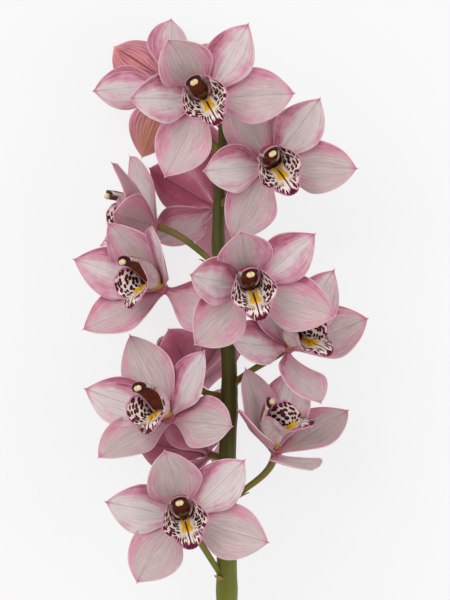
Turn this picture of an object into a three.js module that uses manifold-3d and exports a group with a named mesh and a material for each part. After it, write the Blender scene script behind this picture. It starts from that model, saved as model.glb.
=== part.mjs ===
// A cut cymbidium orchid stem with thirteen open blooms, lying on a flat surface.
//
// Millimetres, +Z up. The surface is Z = 0, +Y runs from the cut end to the tip of the stem, and
// the origin is under the middle of the whole spray. Each bloom has four pieces: its tepals (three
// sepals and two petals grown together on the receptacle), its lip, its column and its anther cap.
// The scape is the stem with every pedicel and bract that grew with it.

import * as THREE from 'three';
import { mergeVertices } from 'three/addons/utils/BufferGeometryUtils.js';
import Module from 'manifold-3d';

const wasm = await Module();
wasm.setup();

// ---------------------------------------------------------------- driving dimensions

const AXIS_HEIGHT = 55.5; // the stem's axis above the surface, along the blooms
const SPRAY_OFFSET = [2.1, 64.3]; // from the stem's own X and Y to the origin
const BLADE = 1.0; // thickness of a sepal, petal or lip
const STEPS = 100; // straight steps along a curved midrib

const SEPAL = { length: 51.5, width: 34, waist: 0.15, widest: 0.52, blunt: 0.9, cup: 24, foot: -1.1 };
const PETAL = { length: 50.5, width: 30, waist: 0.15, widest: 0.53, blunt: 1.02, cup: 24, foot: 1.1 };
const TIP_POINT = 0.02; // share of a tepal's length in its small sharp tip
const TIP_HALF_WIDTH = 1.0;
const ROOT_RADIUS = 2.6; // where a tepal leaves the receptacle's middle
const TEPAL_ROWS = 5;
const TEPAL_COLUMNS = 4;

const RECEPTACLE = { back: -2.0, front: 2.2, backRadius: 3.3, frontRadius: 3.9, sides: 6 };

const LIP = {
  length: 32.8,
  foot: [0, -0.6, 2.7], // where its middle line starts
  rows: [0, 0.12, 0.24, 0.36, 0.5, 0.66, 0.83, 1],
  columns: 4,
  clawHalfWidth: 4.2,
  sideLobe: 18, // how much wider each half is at the side lobes
  frontLobe: 10, // half width of the front lobe
};

const COLUMN_CURVE = [[0, 1.8, 3.8], [0, 7.0, 10.0], [0, 13.5, 18.0], [0, 10.2, 30.2]];
const COLUMN_RADII = [[2.4, 1.9], [5.0, 2.8], [6.2, 3.3], [6.2, 3.5], [5.8, 3.4], [5.4, 3.1], [4.6, 2.6]];
const COLUMN_SIDES = 6;
const ANTHER_LINE = [[0, 10.0, 30.8], [0, 9.4, 32.6], [0, 8.7, 34.0]];
const ANTHER_RADII = [[1.9, 1.4], [2.4, 1.8], [1.1, 0.8]];
const ANTHER_SIDES = 6;

// The stem's own line: X, Y, height from the axis along the blooms, radius.
const SCAPE = [
  [1.5, -300, -48.6, 6.6], [1.4, -278, -48.4, 6.6], [1.3, -250, -42, 6.5], [1.2, -220, -31, 6.5],
  [1.1, -190, -20, 6.4], [1.0, -160, -10, 6.1], [1.0, -130, -3.5, 5.6], [1.2, -100, -0.5, 5.2],
  [2.5, -62, 0, 4.8], [2.2, -32, 0, 4.5], [0, -8, 0, 4.3], [-2.5, 14, 0, 4.0], [-4, 34, 0, 3.8],
  [-3.4, 60, 0, 3.4], [-1.6, 86, 0, 3.0], [-1.0, 100, 3, 2.7], [-2.0, 108, 8, 2.4],
];
const SCAPE_SIDES = 10;
const CUT_SLANT = 0.35; // how far the cut end leans, as a slope
const PEDICEL = { footRadius: 2.3, radius: 1.6, ovaryRadius: 2.3, rings: 5, sides: 6, gap: 0.35, landing: 2.5 };
const BRACT = { length: 15, halfWidth: 3.0, thickness: 0.7, sides: 4 };

// How the five tepals stand by default: the angle round the bloom from the dorsal sepal, the lean
// forward of the bloom's plane and how much the lean grows from root to tip, all in degrees.
const TEPALS = {
  dorsal: { form: SEPAL, angle: 0, lean: 38, curl: 14 },
  petalR: { form: PETAL, angle: 62, lean: 20, curl: 16 },
  petalL: { form: PETAL, angle: -62, lean: 28, curl: 16 },
  sepalR: { form: SEPAL, angle: 122, lean: 15, curl: 12 },
  sepalL: { form: SEPAL, angle: -122, lean: 20, curl: 12 },
};

// Each bloom: its middle from the stem's axis (X, Y, height), the way it faces (azimuth and
// elevation from straight up, then roll), where its pedicel leaves the stem and how strongly the
// pedicel sets out and arrives, and what sets its own tepals apart. `turn` adds to the angle.
const BLOOMS = {
  a: {
    at: [-11.1, 117.5, 38], face: [-3, -2, 31], pedicel: { y: 104, out: 8, in: 10 },
    dorsal: { lean: 46 }, petalR: { lean: 18 }, petalL: { lean: 38, turn: 2 },
    sepalR: { lean: 12, turn: -4 }, sepalL: { lean: 17 },
  },
  b: {
    at: [-34.4, 130.5, -7], face: [-165, 5, -49], pedicel: { y: 88, out: 14, in: 14 },
    dorsal: { lean: 53 }, petalR: { lean: 36, turn: -13, size: 0.94 }, petalL: { lean: 40 },
    sepalR: { lean: 14, turn: -7, size: 0.9 }, sepalL: { lean: 12 },
  },
  c: {
    at: [27.9, 80.2, 14], face: [8, -6, 31], pedicel: { y: 56, out: 14, in: 14 },
    dorsal: { lean: 12, curl: 2 }, petalR: { lean: 26 }, petalL: { lean: 32 },
    sepalR: { lean: 21, size: 0.97 }, sepalL: { lean: 22, turn: 4 },
  },
  d: {
    at: [-43, 45, -17], face: [-76, 16, 15], pedicel: { y: 18, out: 14, in: 14 },
    dorsal: { lean: 26, turn: -20 }, petalR: { lean: 51, turn: -10 }, petalL: { lean: 23, turn: -34 },
    sepalR: { lean: 46, turn: -12, size: 0.94 }, sepalL: { lean: 27, turn: -17 },
  },
  e: {
    at: [-5.5, 57.1, -20], face: [-172, 20, -70], pedicel: { y: 38, out: 10, in: 8 },
    dorsal: { lean: 42 }, petalR: { lean: 28 }, petalL: { lean: 15 },
    sepalR: { lean: 36, hook: -75 }, sepalL: { lean: 38, curl: -30 },
  },
  f: {
    at: [-36.9, 6.6, 15], face: [-46, 12, 17], pedicel: { y: -2, out: 14, in: 14 },
    dorsal: { lean: 50, turn: -8 }, petalR: { lean: 46, turn: -6 },
    petalL: { lean: 46, turn: 3, size: 1.08 },
    sepalR: { lean: -16, curl: -4, turn: 4, size: 0.95 }, sepalL: { lean: 38, turn: 3, size: 1.02 },
  },
  g: {
    at: [14.7, 7.0, 34], face: [4, -3, 14], pedicel: { y: -26, out: 14, in: 14 },
    dorsal: { lean: 50, curl: 20 }, petalR: { lean: 22 }, petalL: { lean: 44 },
    sepalR: { lean: 17 }, sepalL: { lean: 31, turn: 3 },
  },
  h: {
    at: [37.6, -28.7, 6], face: [34, 23, 32], pedicel: { y: -52, out: 14, in: 14 },
    dorsal: { lean: 30 }, petalR: { lean: 32, turn: 4, size: 1.05 }, petalL: { lean: 15, turn: 4 },
    sepalR: { lean: 30, turn: -11 }, sepalL: { lean: 30, turn: -18, sway: -25, size: 0.96 },
  },
  i: {
    at: [30.5, -90.2, 6], face: [22, 58, 55], pedicel: { y: -122, out: 14, in: 14 },
    dorsal: { lean: 55, turn: 18, size: 1.04 }, petalR: { lean: 42, turn: 18, size: 1.03 },
    petalL: { lean: 47, turn: 11 }, sepalR: { lean: 23, turn: 7, size: 1.02 },
    sepalL: { lean: 25, turn: -5, size: 0.96 },
  },
  j: {
    at: [-32.7, -70.2, 12], face: [-34, 18, 21], pedicel: { y: -66, out: 14, in: 14 },
    dorsal: { lean: 33, turn: -4, size: 1.05 }, petalR: { lean: 22, turn: -2, size: 0.96 },
    petalL: { lean: 32, turn: 4, size: 1.04 }, sepalR: { lean: 12, turn: -4 },
    sepalL: { lean: 37, turn: 3, size: 0.97, sway: -20 },
  },
  k: {
    at: [-23.6, -128.4, 28], face: [0, 4, 16], pedicel: { y: -172, out: 14, in: 14 },
    dorsal: { lean: 41 }, petalR: { lean: 21 }, petalL: { lean: 27 },
    sepalR: { lean: 17 }, sepalL: { lean: 31, turn: -3, sway: -20 },
  },
  l: {
    at: [-18.9, -49.9, -20], face: [-140, 35, -42], pedicel: { y: -62, out: 14, in: 14 },
    dorsal: { lean: 10, size: 0.9 }, petalR: { lean: 8 }, petalL: { lean: 8 },
    sepalR: { lean: 32 }, sepalL: { lean: 24 },
  },
  m: {
    at: [-10.4, -93.8, -19], face: [-125, 10, -20], pedicel: { y: -104, out: 12, in: 8 },
    dorsal: { lean: 25, turn: 25, size: 0.9 }, petalR: { lean: 25 }, petalL: { lean: 20 },
    sepalR: { lean: 30 }, sepalL: { lean: 20 },
  },
};

// ---------------------------------------------------------------- small helpers

const rad = THREE.MathUtils.degToRad;
const clamp01 = (x) => THREE.MathUtils.clamp(x, 0, 1);
const smooth = (from, to, x) => THREE.MathUtils.smoothstep(x, from, to);
const vector = (xyz) => new THREE.Vector3(...xyz);

// A line walked in short straight steps from `start`, `heading(s)` being its unit direction at the
// share s of its length. Returns a function that gives the point at any share.
function walk(start, length, heading) {
  const points = [start.clone()];
  for (let i = 0; i < STEPS; i++) {
    const step = heading((i + 0.5) / STEPS).multiplyScalar(length / STEPS);
    points.push(points[i].clone().add(step));
  }
  return (s) => {
    const i = Math.min(Math.floor(s * STEPS), STEPS - 1);
    return points[i].clone().lerp(points[i + 1], s * STEPS - i);
  };
}

// A closed solid from triangles, with its faces pointing out whichever way they were wound.
function toSolid(vertices, triangles) {
  let volume = 0;
  for (const [a, b, c] of triangles) {
    volume += vertices[a].dot(vertices[b].clone().cross(vertices[c]));
  }
  const wound = volume > 0 ? triangles : triangles.map(([a, b, c]) => [a, c, b]);
  const mesh = new wasm.Mesh({
    numProp: 3,
    vertProperties: new Float32Array(vertices.flatMap((p) => p.toArray())),
    triVerts: new Uint32Array(wound.flat()),
  });
  return new wasm.Manifold(mesh);
}

// A thin blade between two grids of points, with alike triangles on both faces and a rim all round.
function bladeSolid(front, back) {
  const rows = front.length;
  const columns = front[0].length;
  const backStart = rows * columns;
  const index = (i, j) => i * columns + j;
  const triangles = [];
  for (let i = 0; i < rows - 1; i++) {
    for (let j = 0; j < columns - 1; j++) {
      const quad = [index(i, j), index(i + 1, j), index(i + 1, j + 1), index(i, j + 1)];
      for (const [a, b, c] of [[0, 1, 2], [0, 2, 3]]) {
        triangles.push([quad[a], quad[b], quad[c]]);
        triangles.push([quad[c] + backStart, quad[b] + backStart, quad[a] + backStart]);
      }
    }
  }
  const rim = [];
  for (let i = 0; i < rows; i++) rim.push(index(i, 0));
  for (let j = 1; j < columns; j++) rim.push(index(rows - 1, j));
  for (let i = rows - 2; i >= 0; i--) rim.push(index(i, columns - 1));
  for (let j = columns - 2; j > 0; j--) rim.push(index(0, j));
  rim.forEach((a, k) => {
    const b = rim[(k + 1) % rim.length];
    triangles.push([a, a + backStart, b + backStart], [a, b + backStart, b]);
  });
  return toSolid([...front.flat(), ...back.flat()], triangles);
}

// A round or oval rod along `points`. Each radius is a number, or one across `across` and one at
// right angles to it. `slant` tilts the first end.
function rodSolid(points, radii, sides, across = new THREE.Vector3(1, 0, 0), slant = 0) {
  const vertices = [];
  const side = across.clone();
  points.forEach((point, i) => {
    const before = points[Math.max(i - 1, 0)];
    const after = points[Math.min(i + 1, points.length - 1)];
    const along = after.clone().sub(before).normalize();
    side.addScaledVector(along, -side.dot(along)).normalize();
    const up = along.clone().cross(side);
    const [wide, high] = [radii[i]].flat().length === 2 ? radii[i] : [radii[i], radii[i]];
    for (let k = 0; k < sides; k++) {
      const turn = (2 * Math.PI * k) / sides;
      const vertex = point.clone();
      vertex.addScaledVector(side, wide * Math.cos(turn)).addScaledVector(up, high * Math.sin(turn));
      if (i === 0) vertex.addScaledVector(along, slant * high * Math.sin(turn));
      vertices.push(vertex);
    }
  });
  const triangles = [];
  for (let i = 0; i < points.length - 1; i++) {
    for (let k = 0; k < sides; k++) {
      const [a, b] = [i * sides + k, i * sides + ((k + 1) % sides)];
      triangles.push([a, b, b + sides], [a, b + sides, a + sides]);
    }
  }
  const last = (points.length - 1) * sides;
  for (let k = 1; k < sides - 1; k++) {
    triangles.push([0, k + 1, k], [last, last + k, last + k + 1]);
  }
  return toSolid(vertices, triangles);
}

// What rests on the surface is pressed flat there: no blade goes below it, and it keeps its
// thickness on it.
function press(front, back) {
  front.forEach((row, i) => row.forEach((p, j) => {
    const q = back[i][j];
    const [lower, upper] = p.z < q.z ? [p, q] : [q, p];
    lower.z = Math.max(lower.z, 0);
    upper.z = Math.max(upper.z, BLADE);
  }));
}

// ---------------------------------------------------------------- one bloom

// The bloom's own frame: x to its right and y to its dorsal sepal as it is faced, z out of it.
function bloomFrame(bloom) {
  const [azimuth, elevation, roll] = bloom.face.map(rad);
  const out = new THREE.Vector3(
    Math.sin(azimuth) * Math.cos(elevation), Math.sin(elevation), Math.cos(azimuth) * Math.cos(elevation),
  );
  const level = new THREE.Vector3(0, 1, 0).addScaledVector(out, -out.y).normalize();
  const aside = level.clone().cross(out);
  const dorsal = level.clone().multiplyScalar(Math.cos(roll)).addScaledVector(aside, -Math.sin(roll));
  const [x, y, z] = bloom.at;
  const frame = new THREE.Matrix4().makeBasis(dorsal.clone().cross(out), dorsal, out);
  return frame.setPosition(x + SPRAY_OFFSET[0], y + SPRAY_OFFSET[1], z + AXIS_HEIGHT);
}

// Half the width of a tepal at the share u of its length: a narrow waist at the root, full past
// the middle, then drawn in to a small sharp point.
function tepalHalfWidth(form, u) {
  const body = clamp01(u / (1 - TIP_POINT));
  const rise = form.waist + (1 - form.waist) * Math.sin((Math.PI / 2) * clamp01(body / form.widest)) ** 1.6;
  const past = clamp01((body - form.widest) / (1 - form.widest));
  const fall = (1 - past ** 1.95) ** form.blunt;
  const point = TIP_HALF_WIDTH * THREE.MathUtils.clamp((1 - u) / (2 * TIP_POINT), 0.23, 1);
  return Math.max((form.width / 2) * (body < form.widest ? rise : fall), point);
}

// A tepal springs from the receptacle, leans forward of the bloom's plane and is cupped across.
function tepalSolid(pose, frame) {
  const { form, size = 1, hook = 0, turn = 0, sway = 0 } = pose;
  const tilt = (s) => rad(pose.lean + pose.curl * (s - 0.5) + hook * clamp01((s - 0.7) / 0.3) ** 2);
  const veer = (s) => rad(sway * (s - 0.35));
  const sideways = (s) => new THREE.Vector3(-Math.sin(veer(s)), Math.cos(veer(s)), 0);
  const heading = (s) => {
    const level = new THREE.Vector3(Math.cos(veer(s)), Math.sin(veer(s)), 0);
    return level.multiplyScalar(Math.cos(tilt(s))).setZ(Math.sin(tilt(s)));
  };
  const midrib = walk(new THREE.Vector3(ROOT_RADIUS, 0, form.foot), form.length * size, heading);
  const bend = rad(form.cup) / ((form.width / 2) * size);
  const angle = rad(pose.angle + turn);
  const placed = new THREE.Matrix4().makeBasis(
    new THREE.Vector3(Math.sin(angle), Math.cos(angle), 0),
    new THREE.Vector3(Math.cos(angle), -Math.sin(angle), 0),
    new THREE.Vector3(0, 0, 1),
  ).premultiply(frame);
  const front = [];
  const back = [];
  for (let i = 0; i <= TEPAL_ROWS; i++) {
    const u = 1 - (1 - i / TEPAL_ROWS) ** 1.15;
    const halfWidth = tepalHalfWidth(form, u) * size;
    const across = sideways(u);
    const face = heading(u).cross(across);
    const rows = [[], []];
    for (let j = 0; j <= TEPAL_COLUMNS; j++) {
      const arc = (2 * j / TEPAL_COLUMNS - 1) * halfWidth * bend;
      const point = midrib(u).addScaledVector(across, Math.sin(arc) / bend);
      point.addScaledVector(face, (1 - Math.cos(arc)) / bend);
      const normal = face.clone().multiplyScalar(Math.cos(arc)).addScaledVector(across, -Math.sin(arc));
      rows[0].push(point.clone().addScaledVector(normal, BLADE / 2).applyMatrix4(placed));
      rows[1].push(point.clone().addScaledVector(normal, -BLADE / 2).applyMatrix4(placed));
    }
    front.push(rows[0]);
    back.push(rows[1]);
  }
  press(front, back);
  return bladeSolid(front, back);
}

function tepalsOf(bloom) {
  const frame = bloomFrame(bloom);
  const { back, front, backRadius, frontRadius, sides } = RECEPTACLE;
  const ends = [back, front].map((z) => new THREE.Vector3(0, 0, z).applyMatrix4(frame));
  let solid = rodSolid(ends, [backRadius, frontRadius], sides);
  for (const [name, usual] of Object.entries(TEPALS)) {
    solid = solid.add(tepalSolid({ ...usual, ...bloom[name] }, frame));
  }
  return solid;
}

// Half the lip's width at the share u of its length: a narrow foot, the side lobes, then the
// rounded front lobe.
function lipHalfWidth(u) {
  const sides = LIP.clawHalfWidth + LIP.sideLobe * smooth(0.04, 0.46, u);
  const taper = (Math.max(u - 0.62, 0) / 0.385) ** 1.5;
  const front = LIP.frontLobe * Math.sqrt(clamp01(1 - taper));
  const frontShare = smooth(0.55, 0.73, u);
  return Math.max(sides * (1 - frontShare) + front * frontShare, 0.35);
}

// The lip runs forward on a narrow claw, opens into a scoop whose side lobes stand up round the
// column, then turns down into its front lobe.
function lipOf(bloom) {
  const frame = bloomFrame(bloom);
  const dip = (s) => rad(4 + 36 * smooth(0.2, 0.45, s) + 46 * smooth(0.66, 0.96, s));
  const heading = (s) => new THREE.Vector3(0, -Math.sin(dip(s)), Math.cos(dip(s)));
  const middle = walk(vector(LIP.foot), LIP.length, heading);
  const aside = new THREE.Vector3(1, 0, 0);
  const front = [];
  const back = [];
  for (const u of LIP.rows) {
    const halfWidth = lipHalfWidth(u);
    const bend = 6.5 + 4 * smooth(0.04, 0.25, u) + 9 * smooth(0.34, 0.58, u); // where it turns up
    const flat = smooth(0.56, 0.84, u);
    const rise = (share) => {
      const out = share * halfWidth;
      const scoop = 84 * smooth(0, bend, out) + 15 * smooth(12, 22, out);
      return rad(scoop * (1 - flat) - 18 * smooth(3, 13, out) * flat);
    };
    const section = walk(new THREE.Vector3(), halfWidth, (s) => {
      return new THREE.Vector3(Math.cos(rise(s)), Math.sin(rise(s)), 0);
    });
    const face = new THREE.Vector3(0, Math.cos(dip(u)), Math.sin(dip(u)));
    const rows = [[], []];
    for (let j = 0; j <= LIP.columns; j++) {
      const v = 2 * j / LIP.columns - 1;
      const { x, y } = section(Math.abs(v));
      const slope = rise(Math.abs(v)) * Math.sign(v);
      const point = middle(u).addScaledVector(aside, x * Math.sign(v)).addScaledVector(face, y);
      const normal = face.clone().multiplyScalar(Math.cos(slope)).addScaledVector(aside, -Math.sin(slope));
      rows[0].push(point.clone().addScaledVector(normal, BLADE / 2).applyMatrix4(frame));
      rows[1].push(point.clone().addScaledVector(normal, -BLADE / 2).applyMatrix4(frame));
    }
    front.push(rows[0]);
    back.push(rows[1]);
  }
  press(front, back);
  return bladeSolid(front, back);
}

function columnOf(bloom) {
  const frame = bloomFrame(bloom);
  const curve = new THREE.CubicBezierCurve3(...COLUMN_CURVE.map(vector));
  const points = curve.getPoints(COLUMN_RADII.length - 1).map((p) => p.applyMatrix4(frame));
  const across = new THREE.Vector3().setFromMatrixColumn(frame, 0);
  return rodSolid(points, COLUMN_RADII, COLUMN_SIDES, across);
}

function antherOf(bloom) {
  const frame = bloomFrame(bloom);
  const points = ANTHER_LINE.map((p) => vector(p).applyMatrix4(frame));
  const across = new THREE.Vector3().setFromMatrixColumn(frame, 0);
  return rodSolid(points, ANTHER_RADII, ANTHER_SIDES, across);
}

// ---------------------------------------------------------------- the scape

const scapePoints = SCAPE.map(([x, y, z]) => {
  return new THREE.Vector3(x + SPRAY_OFFSET[0], y + SPRAY_OFFSET[1], z + AXIS_HEIGHT);
});

function onScape(y) {
  const i = SCAPE.findIndex((row) => row[1] >= y);
  const [below, above] = [SCAPE[i - 1][1], SCAPE[i][1]];
  return scapePoints[i - 1].clone().lerp(scapePoints[i], (y - below) / (above - below));
}

// A pedicel leaves the stem outwards and upwards and swells into the ovary behind its bloom. Its
// bract is a narrow scale along its underside.
function pedicelOf(bloom) {
  const frame = bloomFrame(bloom);
  const foot = onScape(bloom.pedicel.y);
  const facing = new THREE.Vector3().setFromMatrixColumn(frame, 2);
  const end = new THREE.Vector3(0, 0, RECEPTACLE.back - PEDICEL.gap).applyMatrix4(frame);
  const out = end.clone().sub(foot).setY(0).normalize();
  const start = out.clone().multiplyScalar(0.75).setY(0.65);
  const landing = end.clone().addScaledVector(facing, -PEDICEL.landing);
  const curve = new THREE.CubicBezierCurve3(
    foot, foot.clone().addScaledVector(start, bloom.pedicel.out),
    landing.clone().addScaledVector(facing, -bloom.pedicel.in), landing,
  );
  const points = [...curve.getSpacedPoints(PEDICEL.rings - 1), end];
  const radii = points.map((_, i) => THREE.MathUtils.lerp(PEDICEL.radius, PEDICEL.ovaryRadius, i / PEDICEL.rings));
  radii[0] = PEDICEL.footRadius;
  const pedicel = rodSolid(points, radii, PEDICEL.sides);
  return pedicel.add(bractAt(foot, start.normalize(), out));
}

function bractAt(foot, along, out) {
  const side = along.clone().cross(out).normalize();
  const under = new THREE.Vector3(0, -1, 0).addScaledVector(along, along.y).normalize();
  const points = [0.1, 0.6, 1].map((s) => {
    const drop = PEDICEL.radius + 0.4 + 2.2 * s * s;
    return foot.clone().addScaledVector(along, BRACT.length * s).addScaledVector(under, drop);
  });
  const { halfWidth, thickness } = BRACT;
  const radii = [[halfWidth, 2], [halfWidth * 0.75, thickness], [0.5, 0.5]];
  return rodSolid(points, radii, BRACT.sides, side);
}

function scapeSolid() {
  const radii = SCAPE.map((row) => row[3]);
  const across = new THREE.Vector3(1, 0, 0);
  let solid = rodSolid(scapePoints, radii, SCAPE_SIDES, across, CUT_SLANT);
  for (const bloom of Object.values(BLOOMS)) solid = solid.add(pedicelOf(bloom));
  return solid;
}

// ---------------------------------------------------------------- the scene graph

const FINISHES = {
  scape: { color: 0x5a6a2c, roughness: 0.55, metalness: 0 },
  tepals: { color: 0xd9a9ba, roughness: 0.5, metalness: 0 },
  lip: { color: 0xeadbcf, roughness: 0.5, metalness: 0 },
  column: { color: 0xd8c3b4, roughness: 0.45, metalness: 0 },
  anther: { color: 0xf3e3a8, roughness: 0.4, metalness: 0 },
};

const spray = new THREE.Group();

function place(name, solid, finish) {
  const { vertProperties, triVerts } = solid.getMesh();
  let geometry = new THREE.BufferGeometry();
  geometry.setAttribute('position', new THREE.BufferAttribute(new Float32Array(vertProperties), 3));
  geometry.setIndex(new THREE.BufferAttribute(new Uint32Array(triVerts), 1));
  geometry = mergeVertices(geometry);
  geometry.computeVertexNormals();
  const mesh = new THREE.Mesh(geometry, new THREE.MeshStandardMaterial(FINISHES[finish]));
  mesh.name = name;
  spray.add(mesh);
}

place('scape', scapeSolid(), 'scape');
for (const [letter, bloom] of Object.entries(BLOOMS)) {
  place(`bloom_${letter}_tepals`, tepalsOf(bloom), 'tepals');
  place(`bloom_${letter}_lip`, lipOf(bloom), 'lip');
  place(`bloom_${letter}_column`, columnOf(bloom), 'column');
  place(`bloom_${letter}_anther`, antherOf(bloom), 'anther');
}

export default spray;
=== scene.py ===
import math
import random

import bpy
import numpy as np
from bpy.props import FloatProperty, FloatVectorProperty, IntProperty, PointerProperty
from bpy.types import Operator, Panel, PropertyGroup
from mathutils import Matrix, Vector


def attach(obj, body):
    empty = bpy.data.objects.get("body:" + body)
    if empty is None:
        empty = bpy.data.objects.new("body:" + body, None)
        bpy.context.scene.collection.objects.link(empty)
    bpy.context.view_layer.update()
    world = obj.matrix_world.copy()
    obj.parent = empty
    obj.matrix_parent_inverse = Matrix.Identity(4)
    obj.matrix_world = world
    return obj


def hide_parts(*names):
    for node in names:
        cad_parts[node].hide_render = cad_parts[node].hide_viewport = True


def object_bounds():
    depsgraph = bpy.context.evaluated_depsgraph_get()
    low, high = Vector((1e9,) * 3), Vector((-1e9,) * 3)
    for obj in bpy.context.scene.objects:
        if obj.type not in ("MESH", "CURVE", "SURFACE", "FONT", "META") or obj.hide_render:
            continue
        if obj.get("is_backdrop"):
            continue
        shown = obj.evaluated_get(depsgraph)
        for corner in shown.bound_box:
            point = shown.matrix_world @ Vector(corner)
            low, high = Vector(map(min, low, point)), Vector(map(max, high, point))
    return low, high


bl_info = {
    "name": "Cymbidium Orchid Stem",
    "version": (1, 0, 0),
    "blender": (4, 5, 0),
    "location": "3D View > Sidebar > Orchid",
    "description": "Builds the petals, lips, columns and stem of a cut cymbidium spray",
    "category": "Add Mesh",
}

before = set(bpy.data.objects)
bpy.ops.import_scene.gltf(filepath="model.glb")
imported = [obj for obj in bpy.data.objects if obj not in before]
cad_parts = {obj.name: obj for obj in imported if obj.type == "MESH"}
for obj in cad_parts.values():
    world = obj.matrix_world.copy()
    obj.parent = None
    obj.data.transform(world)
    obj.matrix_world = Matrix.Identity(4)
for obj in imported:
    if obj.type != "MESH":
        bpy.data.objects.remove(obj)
CAD_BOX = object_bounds()

MM = 0.001  # lengths are in millimetres where metres aren't named; meshes and settings are in metres

# ---------------- the stem's plan, as in the solids

ORIGIN = np.array([2.1, 64.3, 55.5])  # where the stem's own measures start from
STEPS = 200  # straight steps along a curved midrib

SEPAL = {"length": 51.5, "width": 34, "waist": 0.15, "widest": 0.52, "blunt": 0.9, "cup": 24, "foot": -1.1}
PETAL = {"length": 50.5, "width": 30, "waist": 0.15, "widest": 0.53, "blunt": 1.02, "cup": 24, "foot": 1.1}
TIP_POINT = 0.02
TIP_HALF_WIDTH = 1.0
ROOT_RADIUS = 2.6
TIP_EDGE = 0.15  # how far from the edge a blade's very tip is painted as being
ON_BACK = np.array([0.0, 1.0])[:, None, None]  # 0 on a blade's front and 1 on its back

LIP = {
    "length": 32.8, "foot": (0, -0.6, 2.7), "claw_half_width": 4.2, "side_lobe": 18, "front_lobe": 10,
}

COLUMN_CURVE = [(0, 1.8, 3.8), (0, 7.0, 10.0), (0, 13.5, 18.0), (0, 10.2, 30.2)]
COLUMN_RADII = [(2.4, 1.9), (5.0, 2.8), (6.2, 3.3), (6.2, 3.5), (5.8, 3.4), (5.4, 3.1), (4.6, 2.6)]
ANTHER_LINE = [(0, 10.0, 30.8), (0, 9.4, 32.6), (0, 8.7, 34.0)]
ANTHER_RADII = [(1.9, 1.4), (2.4, 1.8), (1.1, 0.8)]

SCAPE = [
    (1.5, -300, -48.6, 6.6), (1.4, -278, -48.4, 6.6), (1.3, -250, -42, 6.5), (1.2, -220, -31, 6.5),
    (1.1, -190, -20, 6.4), (1.0, -160, -10, 6.1), (1.0, -130, -3.5, 5.6), (1.2, -100, -0.5, 5.2),
    (2.5, -62, 0, 4.8), (2.2, -32, 0, 4.5), (0, -8, 0, 4.3), (-2.5, 14, 0, 4.0), (-4, 34, 0, 3.8),
    (-3.4, 60, 0, 3.4), (-1.6, 86, 0, 3.0), (-1.0, 100, 3, 2.7), (-2.0, 108, 8, 2.4),
]
CUT_SLANT = 0.35
CUT_FADE = 0.022  # share of the stem over which the slant of the cut fades out
PEDICEL = {
    "radius": 1.6, "ovary": 2.3, "back": -2.0, "gap": 0.35, "landing": 2.5, "outwards": 0.75,
    "upwards": 0.65,
}
BRACT = {
    "length": 15, "half_width": 3.0, "tip": 0.12, "clear": 0.5, "spring": 2.2, "thickness": 0.44,
    "cup": 0.35, "curl": 0.15,
}

# The five tepals: degrees round the bloom, and how much the lean grows from foot to tip.
TEPALS = {
    "dorsal": {"form": SEPAL, "angle": 0, "curl": 14},
    "petal_r": {"form": PETAL, "angle": 62, "curl": 16},
    "petal_l": {"form": PETAL, "angle": -62, "curl": 16},
    "sepal_r": {"form": SEPAL, "angle": 122, "curl": 12},
    "sepal_l": {"form": SEPAL, "angle": -122, "curl": 12},
}


def stand(lean, turn=0, size=1.0, **own):
    """How one tepal leans forward and turns round the bloom, its size, and what else is its own: its
    curl, a `hook` at the tip, a `sway` sideways, how `pale` its back is, and how far it has aged
    (`warm` is salmon at 1, and brown in the middle at 2)."""
    return {"lean": lean, "turn": turn, "size": size, **own}


def plan(at, face, pedicel, *tepals, rosy=0.0):
    """A bloom: its middle from the stem's axis, the way it faces (azimuth, elevation, roll), its
    pedicel (where it leaves the stem, how strongly it sets out and arrives), its tepals in the order
    of TEPALS, and how much pinker the whole bloom is."""
    poses = {name: {**usual, **own} for (name, usual), own in zip(TEPALS.items(), tepals)}
    return {"at": at, "face": face, "pedicel": pedicel, "tepals": poses, "rosy": rosy}


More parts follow.
